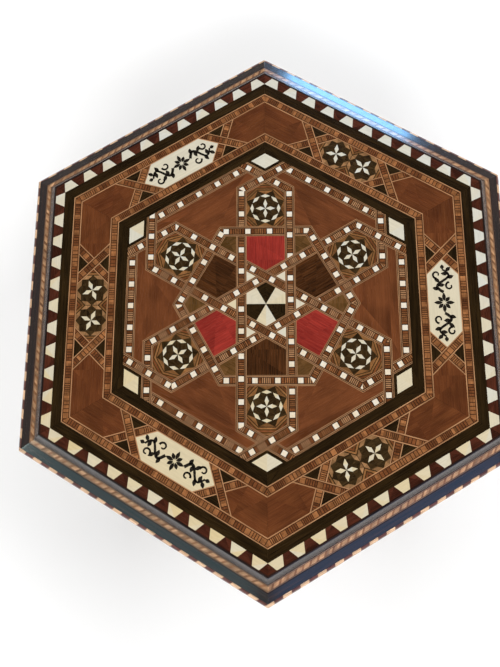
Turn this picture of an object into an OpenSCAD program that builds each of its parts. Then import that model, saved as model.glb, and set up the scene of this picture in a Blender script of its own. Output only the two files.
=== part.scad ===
// Hexagonal marquetry box with a hinged, overhanging lid.
// Millimetres, +Z up. The origin is the centre of the resting face.
// The front faces -Y and the hinges are at +Y.

/* [Box] */
// Height of the closed box
box_h = 98; // [80:1:140]
// Thickness of a wall, veneer included
wall_t = 8; // [7:0.5:10]
// Thickness of the bottom board
bottom_t = 6; // [4:0.5:9]
// Height of the bottom board above the table
foot_clear = 2; // [1.5:0.5:4]
// Height of the plinth moulding
plinth_h = 16; // [13:1:24]
// How far the plinth stands out from the wall's core
plinth_out = 8; // [5:0.5:10]
// Thickness of the felt linings
felt_t = 1; // [0.6:0.1:1.5]
// Gap round the felt in the lid
felt_fit = 0.3; // [0.1:0.1:0.8]
// Width of the hairline between two mitred or crossing pieces
glue_line = 0.06; // [0.04:0.01:0.1]

/* [Lid] */
// How far the lid's moulding stands out beyond the walls
lid_overhang = 12.8; // [11:0.5:15]
// Height of the lid, from its lower edge to its top
lid_h = 20; // [18:0.5:28]
// Hairline between the closed lid and the walls
lid_gap = 0.2; // [0.1:0.05:0.4]
// Thickness of the lid's board
board_t = 6; // [4:0.5:8]
// How far the lid's board rests on the rails
board_lap = 1.6; // [1:0.1:1.8]
// Thickness of the lid's marquetry
veneer_t = 1; // [0.6:0.1:1.4]
// Thickness of the marquetry on the walls
wall_veneer_t = 0.8; // [0.6:0.1:1.2]

/* [Lid moulding] */
// Width of the moulding, from the flat top to its outer face
moulding_w = 16.2; // [15:0.1:19]
// Drop of the moulding at the rope inlay's upper edge
rope_drop = 5; // [3:0.1:6]
// Distance from the flat top to the rope inlay
rope_in = 5; // [4:0.1:6]
// Width of the rope inlay, measured level
rope_w = 3.6; // [3:0.1:5]
// Slope of the moulding's face from the rope inlay outwards, in degrees
moulding_slope = 25; // [15:1:30]
// Radius of the moulding's outer edge
edge_r = 4.2; // [1.5:0.1:5]
// Radius of the lid's worn corners, seen from above
corner_r = 4; // [2:0.5:6]
// Radius where the flat top meets the moulding
lip_r = 1.2; // [0.8:0.1:1.5]
// Chamfer along the lid's lower edge
foot_chamfer = 1; // [0.5:0.1:1.5]
// Width of the chequered inlay along the lid's upper edge, seen from above
chequer_w = 2.6; // [2:0.1:3.5]
// Height of the chequered inlay, from its highest point down
chequer_h = 5.8; // [4:0.1:6.4]
// Depth of the rope inlay
inlay_d = 0.9; // [0.5:0.1:1.2]
// Length of one light or dark piece in the chequered inlay
chequer_l = 4.75; // [3:0.25:7]
// Lean of the pieces' ends, as a share of the inlay's height
chequer_lean = 0.5; // [0:0.1:1]

/* [Marquetry bands] */
// Height of a bone tooth, outwards
tooth_h = 4.6; // [3:0.1:6]
// Width of a tooth at its foot
tooth_base = 7.8; // [5:0.1:9]
// Width of a tooth at its tip
tooth_tip = 3.7; // [2:0.1:5]
// Spacing of the teeth that the pattern aims at
tooth_pitch = 11.2; // [10:0.1:14]
// Width of the two black bands
band_w = 5.1; // [4:0.1:6]
// Width of the narrow strips beside the panel band
strip_w = 4.3; // [3:0.1:5]
// Width of the panel band that holds the plaques and the star pairs
panel_w = 15.3; // [14.4:0.1:17]
// Distance of a crossing from the middle of a side with a plaque
plaque_cross = 24.8; // [20:0.1:30]
// Gap between the ring round a star of a pair and the edges of its panel
pair_margin = 0.1; // [0.05:0.05:0.8]
// Gap between the rings round the two stars of a pair
pair_gap = 0.3; // [0.1:0.05:2]

/* [Strapwork] */
// Width of the strapwork strips
strap_w = 5.2; // [4:0.1:5.6]
// Distance of the long straps' centre lines from the centre
star_d = 12.2; // [11:0.1:13]
// Length of an olive kite
kite_l = 10.9; // [8:0.1:13]
// Length of the straight side of the house at each corner
house_l = 18.2; // [16:0.1:20]
// Width of the field's brown margin between the border strap and a roof strap
roof_gap = 4.1; // [3:0.1:5]
// How much smaller than its place in the star a bone petal's side is
petal_gap = 0.25; // [0.1:0.05:0.8]
// Dark line between a star's points and the ring round it
ring_gap = 0.4; // [0.1:0.05:0.8]
// Gap between a large star and the long straps beside it
star_margin = 1.9; // [1.5:0.1:3]
// Black edge on the inner sides of a white lozenge
lozenge_in = 1.5; // [1:0.1:2.5]
// Black edge on the outer sides of a white lozenge
lozenge_out = 0.6; // [0.4:0.1:1.5]

/* [Wall marquetry] */
// Width of the black frame on a wall
wall_band_w = 5; // [3:0.5:7]
// Half the width of the star panel on a wall
star_panel = 16; // [15:0.5:22]
// Gap between a wall's star and the sides of its panel
wall_star_margin = 3; // [2:0.1:5]

/* [Hinges] */
// Distance of each hinge from the middle of the back
hinge_x = 38; // [30:1:42]
// Width of a hinge
hinge_w = 28; // [20:1:32]
// Depth of a hinge leaf into the wall's thickness
leaf_d = 6.2; // [6:0.1:6.4]
// Thickness of a hinge leaf
leaf_t = 1.2; // [1:0.1:1.6]
// Radius of the hinge's barrel
barrel_r = 2.4; // [2.1:0.1:2.6]
// Radius of the hinge pin
pin_r = 0.9; // [0.7:0.1:1]
// Radial clearance of the pin in its knuckles
pin_fit = 0.05; // [0.02:0.01:0.1]
// Gap between two knuckles, and between the barrel and the wood
knuckle_gap = 0.4; // [0.2:0.1:0.6]
// Radius of a hinge screw's head
screw_head_r = 1.7; // [1.4:0.1:1.9]
// Radius of a hinge screw's shank
screw_r = 0.9; // [0.7:0.1:1]
// Length of a hinge screw
screw_l = 6; // [5:0.5:7]
// Clearance round a hinge screw
screw_fit = 0.05; // [0.02:0.01:0.1]

/* [Hidden] */
$fn = 48;

// Sides are numbered anticlockwise from the front, corners from +X.
BACK = 3;
PLAQUE_SIDES = [0, 2, 4];
PAIR_SIDES = [1, 3, 5];
function side_angle(i) = 60 * i - 90;
half_side = tan(30);

// Levels
board_z = foot_clear;
floor_z = board_z + bottom_t;
wall_top = box_h - lid_h - lid_gap;
lid_z = box_h - lid_h;
veneer_z = box_h - veneer_t;
lid_board_z = veneer_z - board_t;

// Distances from the centre to the sides' edges, from the inside out: first the straps,
// then the bands, the moulding and the walls below it
star_in = star_d - strap_w / 2;
star_out = star_d + strap_w / 2;
ring_in = (star_out / cos(60) + kite_l) * cos(30);
ring_out = ring_in + strap_w;
roof_in = (ring_out + house_l) * cos(30) + star_in * sin(30);
roof_out = roof_in + strap_w;
field_a = roof_out + roof_gap;
border_a = field_a + strap_w;
inner_band_a = border_a + band_w;
inner_strip_a = inner_band_a + strip_w;
panel_a = inner_strip_a + panel_w;
mid_panel_a = panel_a - panel_w / 2;
outer_strip_a = panel_a + strip_w;
teeth_a = outer_strip_a + band_w;
top_a = teeth_a + tooth_h;
lid_a = top_a + moulding_w;
wall_a = lid_a - lid_overhang;
core_a = wall_a - wall_veneer_t;
inner_a = wall_a - wall_t;
lid_board_a = inner_a + board_lap;

// Hinge axis: just behind the back wall, in the middle of the lid's hairline
axis_y = wall_a + barrel_r + knuckle_gap;
axis_z = wall_top + lid_gap / 2;

wood_black = [0.07, 0.05, 0.04];
wood_lacquer = [0.12, 0.08, 0.07];
wood_brown = [0.42, 0.22, 0.12];
wood_plain = [0.55, 0.40, 0.25];
bone = [0.93, 0.90, 0.80];

// Where two lines meet. Each is given by the angle of its normal and its distance from the origin.
function meet(a, a_dist, b, b_dist) =
  [a_dist * sin(b) - b_dist * sin(a), b_dist * cos(a) - a_dist * cos(b)] / sin(b - a);
function at(r, angle) = r * [cos(angle), sin(angle)];
function flip(points) = [for (i = [len(points) - 1:-1:0]) [points[i][0], -points[i][1]]];
// A shape that is its own mirror image across the x axis, given by the half with y above 0
function both(points) = concat(points, flip(points));
// Shifts points on a mitre line back by half the hairline
mitre_shift = [0, -glue_line / 2 / cos(30)];
function mitre(apothem) = [apothem, apothem * half_side] + mitre_shift;
// A piece of a hexagonal ring between two apothems, mitred at the corners
function mitred_piece(near, far) = both([mitre(near), mitre(far)]);

module sides(list) {
  for (i = list) rotate(side_angle(i)) children();
}

module corners(list = [0:5]) {
  for (i = list) rotate(60 * i) children();
}

// Cuts its children to one side's sixth of the hexagon
module sixth() {
  intersection() {
    children();
    linear_extrude(box_h) polygon([[glue_line, 0], mitre(lid_a + 1), flip([mitre(lid_a + 1)])[0]]);
  }
}

// A rail along side i: its section has x outwards and y up
module rail(i) {
  rotate(side_angle(i)) sixth() rotate([90, 0, 0])
    linear_extrude(2 * lid_a, center = true) children();
}

module hexagon_plate(apothem, z, thickness) {
  translate([0, 0, z]) linear_extrude(thickness)
    polygon([for (i = [0:5]) at(apothem / cos(30), 60 * i)]);
}

module lid_veneer() {
  translate([0, 0, veneer_z]) linear_extrude(veneer_t) children();
}

// Veneer on every wall: its outline has x along the wall and y up, from the middle of the wall's face
module wall_veneer() {
  sides([0:5]) sixth() translate([core_a, 0, wall_mid_z]) rotate([90, 0, 90])
    linear_extrude(wall_veneer_t) children();
}

// ---- Carcass ----

module bottom_board() color(wood_plain) hexagon_plate(core_a, board_z, bottom_t);

module base_felt() color("darkgreen") hexagon_plate(inner_a - felt_t, board_z - felt_t, felt_t);

module floor_lining() color("firebrick") hexagon_plate(inner_a - felt_t, floor_z, felt_t);

module wall_lining() {
  color("firebrick") for (i = [0:5]) rail(i)
    translate([inner_a - felt_t, floor_z]) square([felt_t, wall_top - floor_z]);
}

module wall(i) {
  color(wood_plain) difference() {
    rail(i) translate([inner_a, floor_z]) square([wall_t - wall_veneer_t, wall_top - floor_z]);
    if (i == BACK) wall_hinge_cuts();
  }
}

// Section: a foot under the board, an upright face and an ovolo up to the wall
module plinth_section() {
  face_a = core_a + plinth_out;
  round_z = plinth_h - plinth_out;
  difference() {
    union() {
      translate([inner_a, 0]) square([face_a - inner_a, round_z]);
      intersection() {
        translate([core_a, round_z]) circle(plinth_out);
        translate([core_a, round_z]) square(plinth_out);
      }
    }
    translate([0, board_z]) square([core_a, plinth_h]);
  }
}

module plinth(i) color(wood_lacquer) rail(i) plinth_section();

// ---- Wall marquetry ----

wall_half_w = wall_a * half_side;
wall_half_h = (wall_top - plinth_h) / 2;
wall_mid_z = plinth_h + wall_half_h;
field_margin = wall_band_w + strip_w;

// One mitred piece of a wall's frame, with x towards its outer edge, which lies at reach
function frame_piece(reach, half_length, near, far) =
  both([for (m = [far, near]) [reach - m, half_length - m - glue_line / sqrt(2)]]);

// Four pieces between two margins from the wall's edges
module wall_frame(near, far) {
  for (s = [0, 180]) rotate(s) {
    polygon(frame_piece(wall_half_w, wall_half_h, near, far));
    rotate(90) polygon(frame_piece(wall_half_h, wall_half_w, near, far));
  }
}

module wall_bands() {
  color(wood_black) difference() {
    wall_veneer() wall_frame(0, wall_band_w);
    wall_hinge_cuts();
  }
}

// The strips of the frame, and one more on each side of the star panel
module wall_strips() {
  divider_h = 2 * (wall_half_h - field_margin - glue_line);
  color(wood_brown) wall_veneer() {
    wall_frame(wall_band_w, field_margin);
    for (s = [-1, 1]) translate([s * (star_panel + strip_w / 2), 0])
      square([strip_w, divider_h], center = true);
  }
}

module wall_fields() {
  start = star_panel + strip_w;
  length = wall_half_w - field_margin - start;
  height = 2 * (wall_half_h - field_margin);
  color([0.36, 0.18, 0.10]) wall_veneer()
    for (s = [-1, 1]) translate([s * (start + length / 2), 0]) square([length, height], center = true);
}

module wall_star_grounds() {
  color([0.20, 0.12, 0.07]) wall_veneer() difference() {
    square(2 * [star_panel, wall_half_h - field_margin], center = true);
    star_bone(wall_star, 0);
  }
}

module wall_stars() color(bone) wall_veneer() star_bone(wall_star, 0);

// Half the width of the panel band, and of a strip that crosses it at 45 degrees, measured along the side
half_panel = panel_w / 2;
half_cross = strip_w / sqrt(2);
// Distances from the middle of a side with a star pair to a star's middle and to the strips' crossing
star_place = half_panel - pair_margin + pair_gap / 2;
pair_cross = star_place + half_panel * sqrt(2) + half_cross;

// ---- Eight-pointed stars ----
// Eight rhombs of one side length meet in the middle, and eight squares fill the gaps between them.
// Past a dark line, eight flat pieces close the ring. A flat piece ends short of the next one, at this
// angle from its own axis, and the dark wood fills the gap between them.

rhomb_reach = 20.5;
function rhomb_tip(side) = 2 * side * cos(22.5);
function square_tip(side) = side * (1 + sqrt(2));
function star_point(side) = rhomb_tip(side) + ring_gap;
function ring_tip(side) = rhomb_tip(side) + 2 * side * cos(67.5);
// The side of the rhombs in a star that reaches this far from its middle
function star_side(radius) = radius / ring_tip(1);
main_star = star_side(star_in - star_margin);
pair_star = (half_panel - pair_margin) / square_tip(1);
wall_star = star_side(star_panel - wall_star_margin);

function petal_from(side, angle) =
  [at(glue_line, angle), at(side, angle - 22.5), at(rhomb_tip(side), angle), at(side, angle + 22.5)];
function petal(side, angle) = petal_from(side - petal_gap, angle);
function ring_rhomb(side, angle) =
  [at(star_point(side), angle), at(square_tip(side), angle - rhomb_reach), at(ring_tip(side), angle),
   at(square_tip(side), angle + rhomb_reach)];
function eight_tips(tip, side, angle) =
  [for (k = [0:7]) each [at(tip, angle + 45 * k), at(square_tip(side), angle + 45 * k + rhomb_reach),
   at(square_tip(side), angle + 45 * (k + 1) - rhomb_reach)]];
function star_outline(side, angle) = eight_tips(star_point(side), side, angle);
function ring_outline(side, angle) = eight_tips(ring_tip(side), side, angle);

module petals(side, angle) for (k = [0:3]) polygon(petal(side, angle + 90 * k));

module ring_rhombs(side, angle) for (k = [0:7]) polygon(ring_rhomb(side, angle + 45 * k));

module star_bone(side, angle) {
  petals(side, angle);
  ring_rhombs(side, angle);
}

module dark_star(side, angle) {
  difference() {
    polygon(star_outline(side, angle));
    petals(side, angle);
  }
}

// Places of the stars: the large ones near the corners, the small ones in pairs on three sides.
// The two stars of a pair are each other's mirror image, and so are the pair on the back and the others.
module main_places() corners() translate([ring_out + star_in, 0]) children();

module pair_places() {
  for (i = PAIR_SIDES, s = [-1, 1]) {
    turn = s == (i == BACK ? 1 : -1) ? 45 : 0;
    rotate(side_angle(i)) translate([mid_panel_a, s * star_place]) rotate(turn) children();
  }
}

module star_petals() {
  color(bone) lid_veneer() {
    main_places() petals(main_star, 0);
    pair_places() petals(pair_star, 22.5);
  }
}

module dark_stars() {
  color(wood_black) lid_veneer() {
    main_places() dark_star(main_star, 0);
    pair_places() dark_star(pair_star, 22.5);
  }
}

module bone_rings() color(bone) lid_veneer() main_places() ring_rhombs(main_star, 0);

module brown_rhombs() color([0.62, 0.40, 0.20]) lid_veneer() pair_places() ring_rhombs(pair_star, 22.5);

module medallion_grounds() {
  color([0.25, 0.15, 0.09]) lid_veneer() {
    corners() difference() {
      polygon(house);
      translate([ring_out + star_in, 0]) polygon(ring_outline(main_star, 0));
    }
    difference() {
      sides(PAIR_SIDES) polygon(panel_hexagon(pair_cross));
      pair_places() polygon(ring_outline(pair_star, 22.5));
    }
  }
}

// ---- Lid ----

module lid_board() color(wood_plain) hexagon_plate(lid_board_a, lid_board_z, board_t);

module lid_lining() color("firebrick") hexagon_plate(inner_a - felt_fit, lid_board_z - felt_t, felt_t);

// The moulding's face outside the rope inlay: height above the table at an apothem
rope_a = top_a + rope_in;
function slope_z(a) = box_h - rope_drop - (a - rope_a) * tan(moulding_slope);
edge_z = slope_z(lid_a - edge_r) - edge_r / cos(moulding_slope);
chequer_z = slope_z(lid_a - chequer_w) - chequer_h;
lip_slope = atan2(rope_drop, rope_in);
lip_run = lip_r * tan(lip_slope / 2);

function arc(centre, r, from, to, steps) =
  [for (k = [0:steps]) centre + at(r, from + (to - from) * k / steps)];

moulding_outline = concat(
  [[inner_a, lid_z], [lid_a - foot_chamfer, lid_z], [lid_a, lid_z + foot_chamfer]],
  arc([lid_a - edge_r, edge_z], edge_r, 0, 90 - moulding_slope, 8),
  [[rope_a + rope_w, slope_z(rope_a + rope_w)], [rope_a, slope_z(rope_a)]],
  arc([top_a + lip_run, box_h - lip_r], lip_r, 90 - lip_slope, 90, 5),
  [[top_a, box_h], [top_a, veneer_z], [lid_board_a, veneer_z], [lid_board_a, lid_board_z],
   [inner_a, lid_board_z]]);

module rope_section() {
  sink = inlay_d / cos(moulding_slope);
  polygon([[rope_a, slope_z(rope_a)], [rope_a + rope_w, slope_z(rope_a + rope_w)],
    [rope_a + rope_w, slope_z(rope_a + rope_w) - sink], [rope_a, slope_z(rope_a) - sink]]);
}

module chequer_groove() translate([lid_a - chequer_w, chequer_z]) square(edge_r + chequer_h);

module chequer_section() {
  intersection() {
    polygon(moulding_outline);
    chequer_groove();
  }
}

module moulding_section() {
  difference() {
    polygon(moulding_outline);
    rope_section();
    chequer_groove();
  }
}

// Takes the sharp corners off the lid's moulding, in three facets round an arc
module worn_corners() {
  arc_centre = (lid_a - corner_r) / cos(30);
  facet = 20;
  facet_dist = arc_centre * cos(facet) + corner_r;
  inner = meet(0, arc_centre + corner_r, facet, facet_dist);
  outer = meet(facet, facet_dist, 30, lid_a + 1);
  difference() {
    children();
    corners() linear_extrude(2 * box_h) polygon(both([inner, outer, [2 * lid_a, outer[1]]]));
  }
}

module lid_rail(i) {
  color(wood_lacquer) difference() {
    worn_corners() rail(i) moulding_section();
    if (i == BACK) lid_hinge_cuts();
  }
}

module rope_inlay() color([0.60, 0.45, 0.28]) for (i = [0:5]) rail(i) rope_section();

// Every other piece along the moulding, with slanted ends
module chequer(first) {
  half_length = lid_a * half_side;
  slant = chequer_h * chequer_lean;
  piece = [[0, 0], [chequer_l, 0], [chequer_l + slant, chequer_h], [slant, chequer_h]];
  for (i = [0:5]) intersection() {
    worn_corners() rail(i) chequer_section();
    rotate(side_angle(i)) for (s = [first * chequer_l - half_length - slant:2 * chequer_l:half_length])
      translate([lid_a - 2 * edge_r, s, chequer_z]) rotate([90, 0, 90])
        linear_extrude(3 * edge_r) polygon(piece);
  }
}

module chequer_light() color([0.80, 0.66, 0.46]) chequer(0);

module chequer_dark() color([0.35, 0.16, 0.12]) chequer(1);

// ---- Marquetry bands of the lid ----

tooth_room = 2 * teeth_a * half_side - tooth_base;
tooth_count = round(tooth_room / tooth_pitch) + 1;

module teeth_2d() {
  for (k = [0:tooth_count - 1]) translate([teeth_a, (k / (tooth_count - 1) - 0.5) * tooth_room])
    polygon(both([[0, tooth_base / 2], [tooth_h, tooth_tip / 2]]));
}

module bone_teeth() color(bone) lid_veneer() sides([0:5]) teeth_2d();

module border_wood() {
  color([0.22, 0.09, 0.05]) lid_veneer() sides([0:5]) difference() {
    polygon(mitred_piece(teeth_a, top_a));
    teeth_2d();
  }
}

// The inner band widens at each corner into a rhomb round the white lozenge
module black_bands() {
  inner_half = [meet(0, border_a, 60, roof_out), meet(60, roof_out, 120, -glue_line / 2),
    mitre(inner_band_a)];
  color(wood_black) lid_veneer() {
    sides([0:5]) polygon(mitred_piece(outer_strip_a, teeth_a));
    difference() {
      sides([0:5]) polygon(both(inner_half));
      corners() polygon(lozenge);
    }
  }
}

lozenge_near = roof_out + lozenge_in;
lozenge_far = border_a - lozenge_out;
lozenge = [meet(30, lozenge_near, -30, lozenge_near), meet(30, lozenge_near, -30, lozenge_far),
  meet(30, lozenge_far, -30, lozenge_far), meet(30, lozenge_far, -30, lozenge_near)];

module corner_lozenges() color(bone) lid_veneer() corners() polygon(lozenge);

module band_strips() {
  color(wood_brown) lid_veneer() sides([0:5]) {
    polygon(mitred_piece(panel_a, outer_strip_a));
    polygon(mitred_piece(inner_band_a, inner_strip_a));
  }
}

// ---- The panel band: a plaque or a star pair on each side, between two crossings of strips ----

function cross_at(i) = i % 2 == 0 ? plaque_cross : pair_cross;
function panel_hexagon(cross) = [for (p = [[1, -1], [1, 1], [0, 1], [-1, 1], [-1, -1], [0, -1]])
  [mid_panel_a + p[0] * half_panel, p[1] * (cross - half_cross - abs(p[0]) * half_panel)]];
// One strip of a crossing, widened by extra on both sides and leaning outwards or inwards
function cross_strip(lean, extra) = [for (p = [[1, -1], [1, 1], [-1, 1], [-1, -1]])
  [p[0] * half_panel, p[0] * lean * half_panel + p[1] * (half_cross + extra)]];

module crossings() {
  for (i = [0:5], s = [-1, 1]) rotate(side_angle(i)) translate([mid_panel_a, s * cross_at(i)]) children();
}

module crossing_strips() {
  color(wood_brown) lid_veneer() crossings() {
    polygon(cross_strip(1, 0));
    difference() {
      polygon(cross_strip(-1, 0));
      polygon(cross_strip(1, glue_line));
    }
  }
}

module crossing_triangles() {
  half_base = half_panel - half_cross;
  color(wood_black) lid_veneer() crossings() for (p = [-1, 1])
    polygon([[p * half_cross, 0], [p * half_panel, half_base], [p * half_panel, -half_base]]);
}

module bone_plaques() color(bone) lid_veneer() sides(PLAQUE_SIDES) polygon(panel_hexagon(plaque_cross));

module band_fields() {
  color(wood_brown) lid_veneer() for (i = [0:5], s = [0, 1]) {
    tip = cross_at(i) + half_cross;
    rotate(side_angle(i)) mirror([0, s]) polygon([[mid_panel_a, tip], [panel_a, tip + half_panel],
      mitre(panel_a), mitre(inner_strip_a), [inner_strip_a, tip + half_panel]]);
  }
}

// ---- Strapwork: six long straps run from corner to corner, a hexagonal ring crosses them,
// and short roof straps close a small house at each corner. ----

// In the frames below, x points at the middle of a side or at a corner.
border_strap = both([meet(0, field_a, 60, roof_in), meet(0, border_a, 60, roof_in)]);
house = concat([[ring_out, star_in], meet(90, star_in, 30, roof_in), [roof_in / cos(30), 0]],
  flip([[ring_out, star_in], meet(90, star_in, 30, roof_in)]));
pentagon = concat(both([meet(90, star_in, -30, star_out), [ring_in, star_in]]),
  [meet(30, star_out, -30, star_out)]);
kite = [meet(30, ring_in, -30, ring_in), meet(30, ring_in, -60, star_out),
  meet(-60, star_out, 60, star_out), meet(-30, ring_in, 60, star_out)];
field = concat(both([meet(30, ring_out, -60, star_out), meet(-60, star_out, 0, roof_out),
  meet(0, roof_out, 60, roof_in), meet(0, field_a, 60, roof_in)]), [meet(30, ring_out, -30, ring_out)]);
bone_triangle = [meet(0, star_out, 60, star_in), meet(60, star_in, -60, star_in),
  meet(0, star_out, -60, star_in)];
wedge = [[glue_line, 0], at(star_in, -30), at(star_in / cos(30), 0), at(star_in, 30)];

// A long strap runs right across along one side, with a mitre at both ends. extra widens it.
module long_strap(extra = 0) {
  polygon(both([meet(0, star_in - extra, 60, roof_in), meet(0, star_out + extra, 60, roof_out)]));
}

module ring_strap(extra = 0) polygon(mitred_piece(ring_in - extra, ring_out + extra));

// Each strap passes over and under the others in turn. It is cut where another passes over it.
module star_straps() {
  color(wood_brown) lid_veneer() {
    sides([0:5]) difference() {
      long_strap();
      rotate(-60) long_strap(glue_line);
      rotate(120) long_strap(glue_line);
      rotate(-90) ring_strap(glue_line);
    }
    corners() difference() {
      ring_strap();
      rotate(-90) long_strap(glue_line);
    }
  }
}

// A roof strap starts at a long strap, crosses the corner's axis and runs on to the black band.
// shift moves both its ends out, and extra widens it.
function roof_strap(shift, extra) = [meet(90, star_in + shift, 30, roof_in - extra),
  meet(90, star_out + shift, 30, roof_out + extra), meet(30, roof_out + extra, -30, border_a),
  meet(30, roof_in - extra, -30, border_a)];

module border_straps() {
  color(wood_brown) lid_veneer() {
    sides([0:5]) polygon([for (p = border_strap) p - [0, sign(p[1]) * glue_line]]);
    corners() {
      polygon(roof_strap(0, 0));
      difference() {
        mirror([0, 1]) polygon(roof_strap(0, 0));
        polygon(roof_strap(0, glue_line));
      }
    }
  }
}

module outer_fields() color([0.40, 0.20, 0.12]) lid_veneer() sides([0:5]) polygon(field);

module red_pentagons() color([0.62, 0.14, 0.11]) lid_veneer() corners([0:2:4]) polygon(pentagon);

module dark_pentagons() color([0.16, 0.09, 0.06]) lid_veneer() corners([1:2:5]) polygon(pentagon);

module olive_kites() color([0.25, 0.18, 0.08]) lid_veneer() sides([0:5]) polygon(kite);

module bone_triangles() color(bone) lid_veneer() sides([0:5]) polygon(bone_triangle);

module centre_black() color(wood_black) lid_veneer() corners([0:2:4]) polygon(wedge);

module centre_bone() color(bone) lid_veneer() corners([1:2:5]) polygon(wedge);

// ---- Hinges: two butt hinges let into the wall's top edge and the lid's lower edge ----
// Each is drawn round its own axis, with the wall towards -Y.

knuckle_l = (hinge_w - 2 * knuckle_gap) / 3;
barrel_out = barrel_r + knuckle_gap;
bore_r = pin_r + pin_fit;

module hinge_places() {
  for (x = [-hinge_x, hinge_x]) translate([x, axis_y, axis_z]) children();
}

module along_x(length, r, x = 0) {
  translate([x - length / 2, 0, 0]) rotate([0, 90, 0]) cylinder(length, r = r);
}

module leaf_plate() {
  translate([-hinge_w / 2, -barrel_out - leaf_d, -lid_gap / 2 - leaf_t]) cube([hinge_w, leaf_d, leaf_t]);
}

// The recess for a leaf, which runs out past the wood's two faces
module leaf_seat() {
  translate([-hinge_w / 2, -barrel_out - leaf_d, -lid_gap / 2 - leaf_t])
    cube([hinge_w, barrel_out + leaf_d, leaf_t + lid_gap / 2]);
}

module screw_places() {
  for (x = [-hinge_w / 4, hinge_w / 4]) translate([x, -barrel_out - leaf_d / 2, -lid_gap / 2]) children();
}

// A countersunk screw, its head level with the leaf and its shank downwards
module screw(clearance) {
  head_h = screw_head_r - screw_r;
  screw_places() translate([0, 0, -head_h]) {
    cylinder(head_h, screw_r + clearance, screw_head_r + clearance);
    translate([0, 0, head_h - screw_l]) cylinder(screw_l - head_h, r = screw_r + clearance);
  }
}

// The leaf lies below the hinge's axis. Its knuckles are numbered along X.
module leaf(knuckles) {
  difference() {
    union() {
      leaf_plate();
      for (k = knuckles) {
        x = (k - 1) * (knuckle_l + knuckle_gap);
        along_x(knuckle_l, barrel_r, x);
        translate([x - knuckle_l / 2, -barrel_out, -lid_gap / 2 - leaf_t])
          cube([knuckle_l, barrel_out, leaf_t]);
      }
    }
    along_x(2 * hinge_w, bore_r);
    screw(screw_fit);
  }
}

module upside_down() mirror([0, 0, 1]) children();

module hinge_leaves_wall() color("goldenrod") hinge_places() leaf([0, 2]);

module hinge_leaves_lid() color("goldenrod") hinge_places() upside_down() leaf([1]);

module hinge_pins() color("gold") hinge_places() along_x(hinge_w, pin_r);

module hinge_screws_wall() color("gold") hinge_places() screw(0);

module hinge_screws_lid() color("gold") hinge_places() upside_down() screw(0);

module wall_hinge_cuts() {
  hinge_places() {
    leaf_seat();
    screw(screw_fit);
  }
}

module lid_hinge_cuts() {
  hinge_places() {
    upside_down() {
      leaf_seat();
      screw(screw_fit);
    }
    along_x(hinge_w + 2 * knuckle_gap, barrel_out);
  }
}

bottom_board();
base_felt();
floor_lining();
wall_lining();
wall(0);  // wall_front
wall(1);  // wall_front_right
wall(2);  // wall_back_right
wall(3);  // wall_back
wall(4);  // wall_back_left
wall(5);  // wall_front_left
plinth(0);  // plinth_front
plinth(1);  // plinth_front_right
plinth(2);  // plinth_back_right
plinth(3);  // plinth_back
plinth(4);  // plinth_back_left
plinth(5);  // plinth_front_left
wall_bands();
wall_strips();
wall_fields();
wall_star_grounds();
wall_stars();
lid_board();
lid_lining();
lid_rail(0);  // lid_rail_front
lid_rail(1);  // lid_rail_front_right
lid_rail(2);  // lid_rail_back_right
lid_rail(3);  // lid_rail_back
lid_rail(4);  // lid_rail_back_left
lid_rail(5);  // lid_rail_front_left
rope_inlay();
chequer_light();
chequer_dark();
bone_teeth();
border_wood();
black_bands();
band_strips();
band_fields();
crossing_strips();
crossing_triangles();
bone_plaques();
corner_lozenges();
border_straps();
star_straps();
outer_fields();
red_pentagons();
dark_pentagons();
olive_kites();
bone_triangles();
centre_black();
centre_bone();
star_petals();
dark_stars();
bone_rings();
brown_rhombs();
medallion_grounds();
hinge_leaves_wall();
hinge_leaves_lid();
hinge_pins();
hinge_screws_wall();
hinge_screws_lid();
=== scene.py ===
"""Looks for the hexagonal marquetry box: materials, fine inlay, light and camera. Metres, +Z up."""

import math
import random
from collections import namedtuple

import bmesh
import bpy
from mathutils import Euler, Matrix, Vector, noise


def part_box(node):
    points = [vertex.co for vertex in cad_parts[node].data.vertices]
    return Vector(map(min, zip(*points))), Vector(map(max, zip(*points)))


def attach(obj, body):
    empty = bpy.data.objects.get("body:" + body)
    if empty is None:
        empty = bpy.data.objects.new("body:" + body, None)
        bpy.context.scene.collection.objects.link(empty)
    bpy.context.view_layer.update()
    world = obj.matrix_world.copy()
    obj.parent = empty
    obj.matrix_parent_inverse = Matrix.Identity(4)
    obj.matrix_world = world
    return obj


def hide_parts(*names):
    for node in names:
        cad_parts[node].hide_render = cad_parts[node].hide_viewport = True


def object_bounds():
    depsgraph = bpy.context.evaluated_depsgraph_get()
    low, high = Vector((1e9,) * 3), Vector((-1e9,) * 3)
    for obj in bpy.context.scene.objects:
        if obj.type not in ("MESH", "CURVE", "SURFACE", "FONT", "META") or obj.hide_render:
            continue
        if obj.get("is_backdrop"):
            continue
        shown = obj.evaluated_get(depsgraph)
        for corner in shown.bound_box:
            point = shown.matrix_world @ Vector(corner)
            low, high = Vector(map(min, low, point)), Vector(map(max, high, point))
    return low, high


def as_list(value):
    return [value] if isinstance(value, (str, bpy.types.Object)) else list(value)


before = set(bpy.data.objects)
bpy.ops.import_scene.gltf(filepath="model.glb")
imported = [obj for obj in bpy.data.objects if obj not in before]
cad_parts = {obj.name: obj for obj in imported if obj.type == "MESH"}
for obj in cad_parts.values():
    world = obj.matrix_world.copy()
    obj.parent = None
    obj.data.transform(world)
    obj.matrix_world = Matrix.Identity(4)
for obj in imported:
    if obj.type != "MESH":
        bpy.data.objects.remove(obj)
cad_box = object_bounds()

MM = 0.001
UP = Vector((0, 0, 1))
SIDES = ["front", "front_right", "back_right", "back", "back_left", "front_left"]
SIXTH = math.radians(60)
EIGHTH = math.radians(45)
QUARTER = math.radians(90)

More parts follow.
